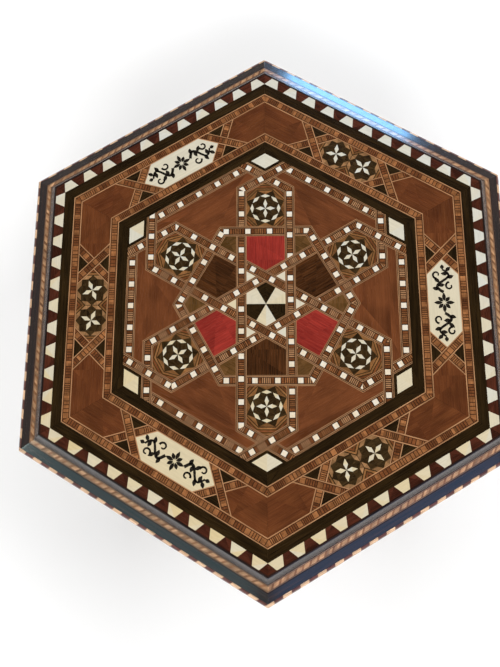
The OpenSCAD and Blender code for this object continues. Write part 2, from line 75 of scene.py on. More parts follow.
# Camera: a wide lens close above the photograph's lower half, tipped a little towards its upper edge
FRAME_SIZE = (500, 667)
FOCAL_LENGTH = 450  # in pixels of the frame
SENSOR_WIDTH = 36  # in millimetres
NEAREST_SEEN = 0.01
CAMERA_PLACE = (-0.0483, 0.0016, 0.3154)
CAMERA_TURN = (8.77, 1.68, -90.08)  # degrees

# Lights: azimuths in degrees anticlockwise from +X, elevations in degrees, distances from the lid in metres
KEY_DISTANCE = 1.3
KEY_SIZE = (0.9, 0.35)
KEYS = [  # azimuth, elevation, watts
    (75, 34, 5.0),
    (180, 34, 13.5),
    (285, 34, 9.0),
    (0, 26, 8.5),
]
GLOW_DISTANCE = 0.6
GLOWS = {  # azimuth, elevation, size, watts, colour
    "blue_window": (-22, 8, (0.2, 0.2), 2.4, (0.24, 0.56, 1.0)),
    "teal_glow": (145, 17, (0.4, 0.2), 0.3, (0.40, 0.90, 1.0)),
    "pale_glow": (118, 17, (0.12, 0.12), 0.8, (0.75, 1.0, 0.95)),
    "corner_glow": (180, 17, (0.12, 0.12), 0.6, (0.35, 0.65, 1.0)),
    "blue_glow": (215, 17, (0.4, 0.2), 0.4, (0.15, 0.45, 1.0)),
}
SKY_COLOUR = (1.0, 0.97, 0.93, 1)
SKY_AT_HORIZON = 0.36
SKY_OVERHEAD = 0.05
SKY_FADE = (0.5, 0.8)  # the heights between which it fades: 0 is the horizon, and 1 is straight overhead

FLOOR_REACH = 3.0
FLOOR_COLOUR = (0.95, 0.95, 0.95, 1)
FLOOR_ROUGHNESS = 0.9


def add_object(name, data):
    made = bpy.data.objects.new(name, data)
    bpy.context.scene.collection.objects.link(made)
    return made


# ---- Shader nodes ----

class Shader:
    """A material or world and its nodes. Each call but add and set returns the output that it is made for."""

    def __init__(self, owner):
        owner.use_nodes = True
        self.owner = owner
        self.nodes = owner.node_tree.nodes
        self.links = owner.node_tree.links
        self.nodes.clear()

    def add(self, kind, settings=None, **inputs):
        """A new node. In the name of an input, an underscore stands for a space."""
        node = self.nodes.new(kind)
        for name, value in (settings or {}).items():
            setattr(node, name, value)
        for name, value in inputs.items():
            self.set(node.inputs[name.replace("_", " ")], value)
        return node

    def set(self, socket, value):
        """The value is the output of another node, or a constant."""
        if isinstance(value, bpy.types.NodeSocket):
            self.links.new(value, socket)
        else:
            socket.default_value = value

    def calculated(self, kind, operation, values):
        node = self.add(kind, {"operation": operation})
        for socket, value in zip(node.inputs, values):
            self.set(socket, value)
        return node.outputs[0]

    def math(self, operation, *values):
        return self.calculated("ShaderNodeMath", operation, values)

    def vector(self, operation, *values):
        return self.calculated("ShaderNodeVectorMath", operation, values)

    def blended(self, first, second, share):
        """The first value by this share, and the second by the rest."""
        parts = [self.math("MULTIPLY", first, share), self.math("MULTIPLY", second, 1 - share)]
        return self.math("ADD", *parts)

    def between(self, value, low, high, to_low=0.0, to_high=1.0):
        """The value carried from one range to another, and kept inside it."""
        node = self.add("ShaderNodeMapRange", Value=value)
        for socket, limit in zip(node.inputs[1:5], (low, high, to_low, to_high)):
            socket.default_value = limit
        return node.outputs[0]

    def ramp(self, factor, low, high):
        """From the low colour at 0 to the high colour at 1."""
        node = self.add("ShaderNodeValToRGB", Fac=factor)
        for element, colour in zip(node.color_ramp.elements, (low, high)):
            element.color = (*colour, 1)
        return node.outputs["Color"]

    def shaded(self, colour, shade):
        """The colour times a single number."""
        node = self.add("ShaderNodeMix", {"data_type": "RGBA", "blend_type": "MULTIPLY"})
        # A mix of colours has its factor in input 0, its colours in 6 and 7, and its result in output 2
        for index, value in ((0, 1.0), (6, colour), (7, shade)):
            self.set(node.inputs[index], value)
        return node.outputs[2]

    def turned(self, vector, angle):
        return self.add("ShaderNodeVectorRotate", {"rotation_type": "Z_AXIS"}, Vector=vector,
                        Angle=angle).outputs[0]

    def place(self):
        """The point's place in the model, in millimetres."""
        metres = self.add("ShaderNodeTexCoord").outputs["Object"]
        return self.vector("MULTIPLY", metres, (1 / MM, 1 / MM, 1 / MM))

    def noise(self, place, across, along, detail, roughness=0.55, distortion=0.0):
        """Noise with this many waves to the millimetre across the grain, in x and z, and along it, in y.

        Most of it lies between 0.3 and 0.7.
        """
        node = self.add("ShaderNodeTexNoise", Vector=self.vector("MULTIPLY", place, (across, along, across)),
                        Scale=1.0, Detail=detail, Roughness=roughness, Distortion=distortion)
        return node.outputs["Fac"]


def grain_place(shader, grain):
    """Coordinates in millimetres: x across the grain and y along it.

    The grain of a strip runs along the strip. Other grain runs along the nearest side of the lid ("side"), or
    outwards to its nearest corner ("corner").
    """
    if grain == "strip":
        uv = shader.add("ShaderNodeUVMap", {"uv_map": "grain"}).outputs["UV"]
        return shader.turned(uv, QUARTER)
    place = shader.place()
    split = shader.add("ShaderNodeSeparateXYZ", Vector=place).outputs
    angle = shader.math("ARCTAN2", split["Y"], split["X"])
    first = 0.0 if grain == "corner" else QUARTER
    sixths = shader.math("ROUND", shader.math("DIVIDE", shader.math("ADD", angle, first), SIXTH))
    return shader.turned(place, shader.math("SUBTRACT", QUARTER, shader.math("MULTIPLY", sixths, SIXTH)))


# ---- Materials ----

PIECE_SPREAD = 300.0  # how far apart two pieces of one wood may be cut from its noise, in mm
BUMP_STRENGTH = 0.5

# How warm bone is, from 0 to 1: its range from piece to piece, and the painted shade that warms it towards
# the lower left, standing in for the cooler light that falls from the upper right
OWN_WARMTH = (0.15, 0.65)
PAINTED_WARMTH_MOST = 0.35  # taken away at its upper right
PAINTED_WARMTH_REACH = 120.0  # in mm from the middle
PAINTED_WARMTH_ASIDE = 0.4  # the share of the way to the left that counts, beside the whole way down

BRASS_BRIGHT = (0.72, 0.48, 0.17)
BRASS_DULL = (0.42, 0.26, 0.10)


def finish_material(shader, colour, roughness, bump=None, bump_depth=0.02 * MM, **inputs):
    surface = shader.add("ShaderNodeBsdfPrincipled", Base_Color=colour, Roughness=roughness, **inputs)
    if bump is not None:
        relief = shader.add("ShaderNodeBump", Height=bump, Strength=BUMP_STRENGTH, Distance=bump_depth)
        shader.set(surface.inputs["Normal"], relief.outputs["Normal"])
    output = shader.add("ShaderNodeOutputMaterial")
    shader.links.new(surface.outputs[0], output.inputs["Surface"])
    return shader.owner


def veneer(name, grain):
    """A new material's shader, a random number for each piece, and places in the noise set off by it."""
    shader = Shader(bpy.data.materials.new(name))
    own = shader.add("ShaderNodeNewGeometry").outputs["Random Per Island"]
    place = shader.vector("ADD", grain_place(shader, grain), shader.math("MULTIPLY", own, PIECE_SPREAD))
    return shader, own, place


def wood(name, dark, light, grain="side", streaks=0.5, mottle=0.4, tone=0.16, roughness=0.2, coat=0.1):
    """Polished veneer: streaks along the grain, a slow change of tone, and each piece in its own shade."""
    shader, own, place = veneer(name, grain)
    fibres = shader.noise(place, across=2.2, along=0.06, detail=5, distortion=0.4)
    figure = shader.noise(place, across=0.22, along=0.025, detail=3, distortion=1.2)
    cloud = shader.noise(place, across=0.09, along=0.06, detail=2)
    pores = shader.noise(place, across=6.0, along=0.25, detail=2)
    colour = shader.ramp(shader.between(shader.blended(fibres, figure, streaks), 0.36, 0.64), dark, light)
    shade = shader.math("ADD", shader.between(cloud, 0.35, 0.65, 1 - mottle / 2, 1 + mottle / 2),
                        shader.between(own, 0, 1, -tone, tone))
    rough = shader.between(pores, 0.3, 0.7, roughness, roughness + 0.1)
    return finish_material(shader, shader.shaded(colour, shade), rough, bump=pores,
                           Specular_IOR_Level=0.25, Coat_Weight=coat, Coat_Roughness=0.05)


def bone(name, pale, warm, grain="side"):
    """Polished bone with faint growth lines, each piece in its own shade, and painted shade that makes it
    warmer towards the lower left.
    """
    shader, own, place = veneer(name, grain)
    lines = shader.noise(place, across=1.6, along=0.12, detail=4, distortion=0.6)
    split = shader.add("ShaderNodeSeparateXYZ", Vector=shader.place()).outputs
    # painted shade: warmer towards the lower left and paler towards the upper right, standing in for the
    # cooler, brighter light from the upper right
    aside = shader.math("MULTIPLY", split["Y"], PAINTED_WARMTH_ASIDE)
    towards = shader.math("SUBTRACT", aside, split["X"])
    painted_warmth = shader.between(towards, -PAINTED_WARMTH_REACH, PAINTED_WARMTH_REACH, -PAINTED_WARMTH_MOST, PAINTED_WARMTH_MOST)
    warmth = shader.math("ADD", shader.between(own, 0, 1, *OWN_WARMTH), painted_warmth)
    colour = shader.shaded(shader.ramp(warmth, pale, warm), shader.between(lines, 0.3, 0.7, 0.90, 1.04))
    return finish_material(shader, colour, roughness=0.28, bump=lines, bump_depth=0.01 * MM,
                           Coat_Weight=0.2, Coat_Roughness=0.06, IOR=1.5)


def lacquer(name, dark, light):
    """Near-black glossy lacquer over wood whose grain just shows, with fine scratches."""
    shader = Shader(bpy.data.materials.new(name))
    place = grain_place(shader, "side")
    grain = shader.noise(place, across=1.6, along=0.04, detail=5, distortion=0.5)
    scuffs = shader.noise(place, across=0.9, along=0.5, detail=6, roughness=0.7)
    colour = shader.ramp(shader.between(grain, 0.35, 0.7), dark, light)
    rough = shader.between(scuffs, 0.4, 0.75, 0.16, 0.34)
    return finish_material(shader, colour, rough, bump=grain, Specular_IOR_Level=0.3,
                           Coat_Weight=0.2, Coat_Roughness=0.1, IOR=1.5)


def felt(name, dark, light):
    """Matt felt with its fibres, and a slow change of tone."""
    shader = Shader(bpy.data.materials.new(name))
    place = shader.place()
    fibres = shader.noise(place, across=3.5, along=3.5, detail=6, roughness=0.7, distortion=1.5)
    cloud = shader.noise(place, across=0.08, along=0.08, detail=3)
    colour = shader.ramp(shader.between(shader.blended(fibres, cloud, 0.7), 0.35, 0.65), dark, light)
    return finish_material(shader, colour, roughness=0.95, bump=fibres, bump_depth=0.3 * MM,
                           Sheen_Weight=0.5, Sheen_Roughness=0.4)


def brass(name):
    """Brass, duller and darker where it has tarnished."""
    shader = Shader(bpy.data.materials.new(name))
    tarnish = shader.noise(shader.place(), across=0.5, along=0.5, detail=5, roughness=0.65)
    colour = shader.ramp(shader.between(tarnish, 0.35, 0.7), BRASS_BRIGHT, BRASS_DULL)
    rough = shader.between(tarnish, 0.35, 0.7, 0.25, 0.5)
    return finish_material(shader, colour, rough, bump=tarnish, Metallic=1.0)


# By kind of material: the colours of each, and what else sets it apart from the rest
LOOKS = {
    wood: {
        "carcass": dict(dark=(0.22, 0.11, 0.05), light=(0.36, 0.20, 0.10), streaks=0.6, mottle=0.3,
                        tone=0.05, roughness=0.5, coat=0.0),
        "black": dict(dark=(0.008, 0.004, 0.001), light=(0.026, 0.014, 0.004), tone=0.05),
        "walnut": dict(dark=(0.014, 0.007, 0.002), light=(0.046, 0.026, 0.009), tone=0.2),
        "inner_fields": dict(dark=(0.096, 0.029, 0.010), light=(0.146, 0.047, 0.016), tone=0.06),
        "band_fields": dict(dark=(0.075, 0.021, 0.007), light=(0.130, 0.041, 0.013), tone=0.06),
        "border": dict(dark=(0.028, 0.008, 0.004), light=(0.075, 0.020, 0.010), tone=0.25),
        "red": dict(dark=(0.17, 0.016, 0.012), light=(0.29, 0.031, 0.021), grain="corner",
                    streaks=0.85, mottle=0.25, tone=0.1),
        "rosewood": dict(dark=(0.018, 0.007, 0.002), light=(0.075, 0.026, 0.008), grain="corner",
                         streaks=0.85, tone=0.1),
        "olive": dict(dark=(0.050, 0.024, 0.006), light=(0.13, 0.062, 0.020)),
        "light_brown": dict(dark=(0.17, 0.085, 0.034), light=(0.32, 0.17, 0.075), tone=0.25),
        "ground_light": dict(dark=(0.12, 0.050, 0.016), light=(0.25, 0.115, 0.040), tone=0.25),
        "strip_brown": dict(dark=(0.085, 0.028, 0.009), light=(0.18, 0.062, 0.021), grain="strip"),
        "strip_tan": dict(dark=(0.16, 0.060, 0.020), light=(0.30, 0.125, 0.046), grain="strip", tone=0.3),
        "strip_light": dict(dark=(0.29, 0.145, 0.066), light=(0.43, 0.235, 0.115), grain="strip", tone=0.05),
        "strip_dark": dict(dark=(0.014, 0.006, 0.003), light=(0.045, 0.018, 0.008), grain="strip"),
        "rope_light": dict(dark=(0.26, 0.125, 0.055), light=(0.50, 0.29, 0.15), grain="strip", tone=0.3),
        "rope_brown": dict(dark=(0.15, 0.055, 0.022), light=(0.27, 0.12, 0.045), grain="strip", tone=0.2),
        "rope_edge": dict(dark=(0.17, 0.085, 0.045), light=(0.30, 0.17, 0.095), grain="strip"),
        "chequer_light": dict(dark=(0.48, 0.28, 0.15), light=(0.75, 0.52, 0.34), tone=0.2),
        "chequer_dark": dict(dark=(0.05, 0.014, 0.010), light=(0.15, 0.045, 0.032), tone=0.2),
    },
    bone: {
        "bone": dict(pale=(0.60, 0.595, 0.53), warm=(0.62, 0.49, 0.26)),
        "strip_bone": dict(pale=(0.74, 0.70, 0.62), warm=(0.70, 0.56, 0.37), grain="strip"),
    },
    lacquer: {
        "lacquer": dict(dark=(0.006, 0.004, 0.004), light=(0.030, 0.014, 0.010)),
        "mastic": dict(dark=(0.010, 0.008, 0.006), light=(0.020, 0.016, 0.011)),
    },
    felt: {
        "red_felt": dict(dark=(0.22, 0.012, 0.018), light=(0.42, 0.03, 0.04)),
        "green_felt": dict(dark=(0.02, 0.07, 0.035), light=(0.05, 0.14, 0.07)),
    },
    brass: {"brass": {}},
}
MATERIALS = {
    name: make(name, **look)
    for make, looks in LOOKS.items()
    for name, look in looks.items()
}

NODE_MATERIALS = {
    "carcass": ["bottom_board", "lid_board"] + ["wall_" + side for side in SIDES],
    "lacquer": ["lid_rail_" + side for side in SIDES] + ["plinth_" + side for side in SIDES],
    "red_felt": ["floor_lining", "wall_lining", "lid_lining"],
    "green_felt": ["base_felt"],
    "black": ["wall_bands", "black_bands", "crossing_triangles", "centre_black"],
    "walnut": ["dark_stars"],
    "inner_fields": ["outer_fields"],
    "band_fields": ["band_fields", "wall_fields"],
    "border": ["border_wood"],
    "red": ["red_pentagons"],
    "rosewood": ["dark_pentagons", "wall_star_grounds"],
    "olive": ["olive_kites"],
    "light_brown": ["brown_rhombs"],
    "bone": ["wall_stars", "bone_teeth", "corner_lozenges", "bone_triangles", "centre_bone",
             "star_petals", "bone_rings"],
    "chequer_light": ["chequer_light"],
    "chequer_dark": ["chequer_dark"],
    "brass": ["hinge_leaves_wall", "hinge_leaves_lid", "hinge_pins", "hinge_screws_wall",
              "hinge_screws_lid"],
}


def dress_nodes():
    for name, nodes in NODE_MATERIALS.items():
        for node in nodes:
            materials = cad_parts[node].data.materials
            materials.clear()
            materials.append(MATERIALS[name])


# ---- Flat shapes ----

PLACE_DIGITS = 7  # decimals that are kept of a length in metres
FLAT = 1e-6 * MM * MM  # a point whose triangle with its neighbours is no larger than this is left out


def edges(outline):
    return zip(outline, outline[1:] + outline[:1])


def area(outline):
    """Positive where the outline runs anticlockwise."""
    return sum(a[0] * b[1] - b[0] * a[1] for a, b in edges(outline)) / 2


def mean(points):
    return sum((p.xy for p in points), Vector((0, 0))) / len(points)


def cut(shape, start, end):
    """The part of a convex shape to the left of the line from start to end."""
    run, rise = end[0] - start[0], end[1] - start[1]
    side = [run * (p[1] - start[1]) - rise * (p[0] - start[0]) for p in shape]
    kept = []
    for i, point in enumerate(shape):
        before = shape[i - 1]
        if (side[i] >= 0) != (side[i - 1] >= 0):
            share = side[i - 1] / (side[i - 1] - side[i])
            kept.append(before + (point - before) * share)
        if side[i] >= 0:
            kept.append(point)
    return kept


def common(shape, outline):
    """What two convex shapes have in common. The outline runs anticlockwise."""
    for i, end in enumerate(outline):
        if len(shape) > 2:
            shape = cut(shape, outline[i - 1], end)
    return shape


def rectangle(x0, x1, y0, y1):
    return [Vector(p) for p in ((x0, y0), (x1, y0), (x1, y1), (x0, y1))]


def polar(radius, angle):
    return Vector((radius * math.cos(angle), radius * math.sin(angle)))


def hull(points):
    """The convex outline round some points, anticlockwise."""
    ordered = sorted({(round(p[0], PLACE_DIGITS), round(p[1], PLACE_DIGITS)) for p in points})
    outline = []
    for run in (ordered, ordered[::-1]):
        chain = []
        for point in run:
            while len(chain) > 1 and area([chain[-2], chain[-1], point]) <= FLAT:
                chain.pop()
            chain.append(point)
        outline += chain[:-1]
    return [Vector(p) for p in outline]


def edge_distances(point, outline):
    """How far inside each edge of an anticlockwise outline a point lies."""
    for start, end in edges(outline):
        along = (end - start).normalized()
        yield along.x * (point.y - start.y) - along.y * (point.x - start.x)


# ---- Solids of the CAD nodes ----

SAME_POINT = 0.001 * MM
SAME_PLANE = 0.01  # radians
OUTWARD = 0.3  # the least cosine between a shown face's normal and the way up and out from the middle
LONGER = 0.001  # how much an edge's length counts against a misfit in width


def islands(*nodes):
    """The faces of each solid in these nodes, with coplanar triangles joined, in the same order every run."""
    for node in nodes:
        solid = bmesh.new()
        solid.from_mesh(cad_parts[node].data)
        bmesh.ops.remove_doubles(solid, verts=solid.verts, dist=SAME_POINT)
        bmesh.ops.dissolve_limit(solid, angle_limit=SAME_PLANE, verts=solid.verts, edges=solid.edges)
        seen = set()
        for first in solid.faces:
            if first in seen:
                continue
            seen.add(first)
            found = [first]
            for face in found:  # the list grows as faces that touch it are found
                near = [f for v in face.verts for f in v.link_faces if f not in seen]
                found += dict.fromkeys(near)
                seen.update(near)
            yield found
        solid.free()


def points_of(faces):
    return [v.co.copy() for v in dict.fromkeys(v for f in faces for v in f.verts)]


def shown_faces(*nodes):
    """For each solid in these nodes: the corners and normal of its largest face up or out, and its depth."""
    for found in islands(*nodes):
        middle = sum((f.calc_center_median() for f in found), Vector()) / len(found)
        outward = Vector((middle.x, middle.y, middle.xy.length)).normalized()
        face = max(found, key=lambda f: (f.normal.dot(outward) > OUTWARD) * f.calc_area())
        corners = [v.co.copy() for v in face.verts]
        depth = max((corners[0] - point).dot(face.normal) for point in points_of(found))
        yield corners, face.normal.copy(), depth


def strip_frame(corners, normal, width):
    """Where a strip lies: x along it, y across it, z out of its face, from the middle of the face."""
    least = math.inf
    for i, corner in enumerate(corners):
        edge = corner - corners[i - 1]
        across = normal.cross(edge.normalized())
        reach = [across.dot(p) for p in corners]
        misfit = abs(max(reach) - min(reach) - width) - edge.length * LONGER
        if misfit < least:
            least = misfit
            turn = Matrix((edge.normalized(), across, normal)).transposed().to_4x4()
    local = [turn.inverted() @ p for p in corners]
    middle = Vector([(max(p[k] for p in local) + min(p[k] for p in local)) / 2 for k in range(3)])
    return Matrix.Translation(turn @ middle) @ turn


# ---- Pieces of the scene ----

SMALLEST = 0.004 * MM * MM  # blocks of a smaller area are left out


def stand_for(nodes, name, mesh, material, slot, body):
    """The piece that stands for these nodes, on their body."""
    mesh.materials.append(MATERIALS[material])
    piece = add_object(name, mesh)
    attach(piece, body)
    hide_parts(*nodes)
    return piece


class Inlay:
    """Closed prisms of one material, which become one piece."""

    def __init__(self):
        self.points = []
        self.faces = []
        self.grain = []

    def add(self, outline, place, depth, sink=0.0):
        """A prism from sink to depth below the plane z = 0 of place, in which the outline lies."""
        if len(outline) < 3 or abs(area(outline)) < SMALLEST:
            return
        if area(outline) < 0:
            outline = outline[::-1]
        start = len(self.points)
        count = len(outline)
        for level in (-sink, -depth):
            for point in outline:
                self.points.append(place @ Vector((point[0], point[1], level)))
                self.grain.append((point[0] / MM, point[1] / MM))
        top = list(range(start, start + count))
        self.faces.append(top)
        self.faces.append([i + count for i in reversed(top)])
        for i, j in edges(top):
            self.faces.append([j, i, i + count, j + count])

    def mesh(self, name):
        mesh = bpy.data.meshes.new(name)
        mesh.from_pydata(self.points, [], self.faces)
        layer = mesh.uv_layers.new(name="grain")
        corners = [0] * len(mesh.loops)
        mesh.loops.foreach_get("vertex_index", corners)
        layer.data.foreach_set("uv", [c for i in corners for c in self.grain[i]])
        return mesh


class Inlays:
    """One Inlay for each material."""

    def __init__(self):
        self.layers = {}

    def add(self, material, outline, place, depth, sink=0.0):
        self.layers.setdefault(material, Inlay()).add(outline, place, depth, sink)

    def finish(self, prefix, slots, body, nodes):
        for material, layer in self.layers.items():
            name = f"{prefix}_{material}"
            stand_for(nodes, name, layer.mesh(name), material, slots[material], body)


# ---- Strips: thin lines along both edges, and a core of small blocks ----

# Lengths along a strip, in mm
STRAP_PERIOD = 11.0
STRIP_PERIOD = 8.4
ROPE_PERIOD = 4.1
SPARE_PERIODS = 3
MOST_SHIFT = 0.25  # of a period


def strap_blocks(chance):
    """One period, from the middle of a bone square to the next: thin dark and light lines on brown."""
    half_square = 1.3
    edge = 0.5
    dark = 0.42
    light = 0.48
    light_lines = 5
    wood_name = "strip_light" if chance.random() < 0.5 else "strip_tan"
    group = [("strip_dark", dark), (wood_name, light)] * light_lines + [("strip_dark", dark)]
    rest = (STRAP_PERIOD - sum(length for _, length in group)) / 2 - edge - half_square
    margin = [("strip_bone", half_square), ("strip_dark", edge), ("strip_brown", rest)]
    return margin + group + margin[::-1]


def strip_blocks(chance):
    """One period, from the middle of a tan square to the next: four to seven dark lines on brown or tan."""
    half_square = 1.25
    dark = 0.36
    gaps = chance.choice((2, 3, 4, 5)) + 1
    gap = (STRIP_PERIOD - 2 * half_square - (gaps + 1) * dark) / gaps
    ground = chance.choice(("strip_brown", "strip_brown", "strip_tan"))
    group = [("strip_dark", dark), (ground, gap)] * gaps + [("strip_dark", dark)]
    return [("strip_tan", half_square)] + group + [("strip_tan", half_square)]


def rope_blocks(chance):
    """One period, from the middle of a light block to the next."""
    light = chance.uniform(2.6, 3.0)
    return [("rope_light", light / 2), ("rope_brown", ROPE_PERIOD - light), ("rope_light", light / 2)]


# width: in metres
# lines: for each, the distances of its two edges from the strip's middle, in mm, and its wood
# blocks: gives the wood and length of each block of one period
# period: in mm
# lean: how far the blocks lean over, as a share of the core's width
StripKind = namedtuple("StripKind", ["width", "lines", "blocks", "period", "lean"])

STRAP = StripKind(
    width=5.2 * MM,
    lines=[(1.30, 1.72, "strip_dark"), (1.72, 2.02, "strip_light"), (2.02, 2.36, "strip_dark"),
           (2.36, 2.60, "strip_light")],
    blocks=strap_blocks, period=STRAP_PERIOD, lean=0.0)
STRIP = StripKind(
    width=4.3 * MM,
    lines=[(1.28, 1.50, "strip_dark"), (1.50, 1.72, "strip_brown"), (1.72, 2.15, "strip_light")],
    blocks=strip_blocks, period=STRIP_PERIOD, lean=0.0)
ROPE = StripKind(
    width=4.0 * MM,
    lines=[(1.10, 1.35, "strip_dark"), (1.35, 1.70, "rope_edge"), (1.70, 2.05, "strip_dark")],
    blocks=rope_blocks, period=ROPE_PERIOD, lean=0.8)

STRIP_SLOTS = {
    "strip_bone": "bone",
    "strip_dark": "black_veneer",
    "strip_light": "light_brown_wood",
    "strip_tan": "strip_wood",
    "strip_brown": "strap_wood",
    "rope_light": "rope_inlay",
    "rope_brown": "rope_inlay",
    "rope_edge": "rope_inlay",
}


def fill_strip(inlays, kind, corners, normal, depth, chance):
    place = strip_frame(corners, normal, kind.width)
    back = place.inverted()
    outline = [(back @ p).xy for p in corners]
    if area(outline) < 0:
        outline.reverse()
    end = max(abs(p.x) for p in outline)
    for near, far, wood_name in kind.lines:
        for side in (-1, 1):
            line = rectangle(-end, end, *sorted((side * near * MM, side * far * MM)))
            inlays.add(wood_name, common(line, outline), place, depth)
    core = kind.lines[0][0] * MM
    slant = core * kind.lean
    period = kind.period * MM
    count = max(1, round(2 * end / period)) + SPARE_PERIODS
    x = (chance.uniform(-MOST_SHIFT, MOST_SHIFT) - count / 2) * period
    for _ in range(count):
        for wood_name, length in kind.blocks(chance):
            block = rectangle(x, x + length * MM, -core, core)
            for point in block:
                point.x += slant if point.y > 0 else -slant
            inlays.add(wood_name, common(block, outline), place, depth)
            x += length * MM


def make_strips(name, nodes, body, kind):
    chance = random.Random(name)
    inlays = Inlays()
    for corners, normal, depth in shown_faces(*nodes):
        fill_strip(inlays, kind, corners, normal, depth, chance)
    inlays.finish(name, STRIP_SLOTS, body, nodes)


# ---- Grounds round the eight-pointed stars of the medallions ----

STAR_REACH = 8.35 * MM  # all of a star's ring lies nearer its middle than this
HALF_EIGHTH = EIGHTH / 2

# Thicknesses in mm of the bars that fill a medallion outside its octagon, from the octagon outwards
BARS = [("walnut", 0.4), ("ground_light", 0.8), ("walnut", 0.4), ("strip_brown", 1.0)]
BAR_ROUNDS = 3
GROUND_SLOTS = {
    "walnut": "black_veneer",
    "ground_light": "light_brown_wood",
    "strip_brown": "medallion_ground",
}


def ring_tips(ring_node):
    """A star's middle and one tip of its ring, for each star whose ring is in this node."""
    ring = [v.co.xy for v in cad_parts[ring_node].data.vertices]
    for found in islands("dark_stars"):
        middle = mean(points_of(found))
        near = [p for p in ring if (p - middle).length < STAR_REACH]
        if near:
            yield middle, max(near, key=lambda p: (p - middle).length)


def trapezoid(near, far):
    """The corners of an eighth of a ring between two octagons: for each, its radius and its angle."""
    return [(near, -HALF_EIGHTH), (far, -HALF_EIGHTH), (far, HALF_EIGHTH), (near, HALF_EIGHTH)]


def fill_medallion(inlays, middle, tip, tips_at_corners, outline, place, depth):
    """An octagon as large as the outline lets it be, and bars from there to the outline.

    The ring's tips point at the octagon's corners, or at the middles of its sides.
    """
    radius = (tip - middle).length
    apothem = min(edge_distances(middle, outline))
    corner = apothem / math.cos(HALF_EIGHTH)
    first = math.atan2(tip.y - middle.y, tip.x - middle.x) + (HALF_EIGHTH if tips_at_corners else 0)
    if tips_at_corners:
        shapes = [("walnut", trapezoid(radius, corner))]
    else:
        shapes = [("ground_light", [(radius, 0), (corner, -HALF_EIGHTH), (corner, HALF_EIGHTH)]),
                  ("walnut", [(radius, 0), (corner, HALF_EIGHTH), (radius, EIGHTH)])]
    inner = apothem
    for wood_name, thickness in BARS * BAR_ROUNDS:
        outer = inner + thickness * MM
        shapes.append((wood_name, trapezoid(inner / math.cos(HALF_EIGHTH), outer / math.cos(HALF_EIGHTH))))
        inner = outer
    for k in range(8):
        for wood_name, corners in shapes:
            shape = [middle + polar(r, first + turn + k * EIGHTH) for r, turn in corners]
            inlays.add(wood_name, common(shape, outline), place, depth)


def make_medallions():
    inlays = Inlays()
    stars = [(*star, False) for star in ring_tips("bone_rings")]
    stars += [(*star, True) for star in ring_tips("brown_rhombs")]
    for found in islands("medallion_grounds"):
        points = points_of(found)
        outline = hull(points)
        top = max(p.z for p in points)
        depth = top - min(p.z for p in points)
        place = Matrix.Translation((0, 0, top))
        own = [star for star in stars if min(edge_distances(star[0], outline)) > 0]
        for middle, tip, tips_at_corners in own:
            part = outline
            for other in (star[0] for star in own if star[0] != middle):
                half_way = (middle + other) / 2
                part = cut(part, half_way, half_way + (other - middle).orthogonal())
            fill_medallion(inlays, middle, tip, tips_at_corners, part, place, depth)
    inlays.finish("medallion", GROUND_SLOTS, "lid", ["medallion_grounds"])


# ---- Bone plaques with a scroll of leaves in black mastic ----

PLAQUE_WIDTH = 15.3 * MM
MASTIC_PROUD = 0.03 * MM
MASTIC_DEPTH = 0.2 * MM
PLAQUE_SLOTS = {"bone": "bone", "mastic": "black_veneer"}

# The scroll, in mm from the plaque's middle
ROSETTE_MIDDLE = 0.7
ROSETTE_TIPS = (5.0, 4.0)  # of its long leaves and its short ones, by turns
ROSETTE_LEAF_WIDTH = 1.8
STEM_START = 5.2
STEM_LENGTH = 11.5
STEM_WAVE = 2.9
STEM_POINTS = 21
STEM_THICKNESS = (1.5, 0.9)  # at its start and its end
LEAVES = [  # where along the stem, from 0 to 1, then direction in degrees, and length
    (0.12, 75, 3.4),
    (0.30, -85, 3.6),
    (0.42, 50, 3.8),
    (0.62, -70, 3.6),
    (0.80, 85, 3.6),
    (0.92, -50, 3.4),
]
LEAF_WIDTH = 1.9
LEAF_STEPS = 7
LAST_LEAF_LENGTH = 2.6
CURLS = [(0.27, -1), (0.77, 1)]  # where along the stem, from 0 to 1, and on which side of it
CURL_ASIDE = 3.0
CURL_RADIUS = 2.0
CURL_SWEEP = math.radians(300)
CURL_STEPS = 12
CURL_NARROWS = 0.55
CURL_THICKNESS = (1.1, 0.7)


def leaf(start, end, width):
    """An almond shape between two points."""
    along = end - start
    across = Vector((-along.y, along.x)).normalized() * width / 2
    side = [(k / LEAF_STEPS, math.sin(math.pi * k / LEAF_STEPS)) for k in range(LEAF_STEPS + 1)]
    there = [start + along * t + across * bulge for t, bulge in side]
    back = [start + along * t - across * bulge for t, bulge in side[-2:0:-1]]
    return there + back


def stroke(path, thickness):
    """A curved stroke along a path, from the first thickness to the second."""
    first, last = thickness
    there, back = [], []
    for k, point in enumerate(path):
        along = (path[min(k + 1, len(path) - 1)] - path[max(k - 1, 0)]).normalized()
        across = Vector((-along.y, along.x)) * (first + (last - first) * k / (len(path) - 1)) / 2
        there.append(point + across)
        back.append(point - across)
    return there + back[::-1]


def curl(middle, start, sweep):
    """A path that winds in towards its middle."""
    shares = [k / CURL_STEPS for k in range(CURL_STEPS + 1)]
    return [middle + polar(CURL_RADIUS * (1 - CURL_NARROWS * t), start + sweep * t) for t in shares]


def on_stem(s, t):
    """A point of the stem towards one end of the plaque, -1 or 1. At its start t is 0, and at its end 1."""
    return Vector((s * (STEM_START + STEM_LENGTH * t), s * STEM_WAVE * math.sin(2 * math.pi * t)))


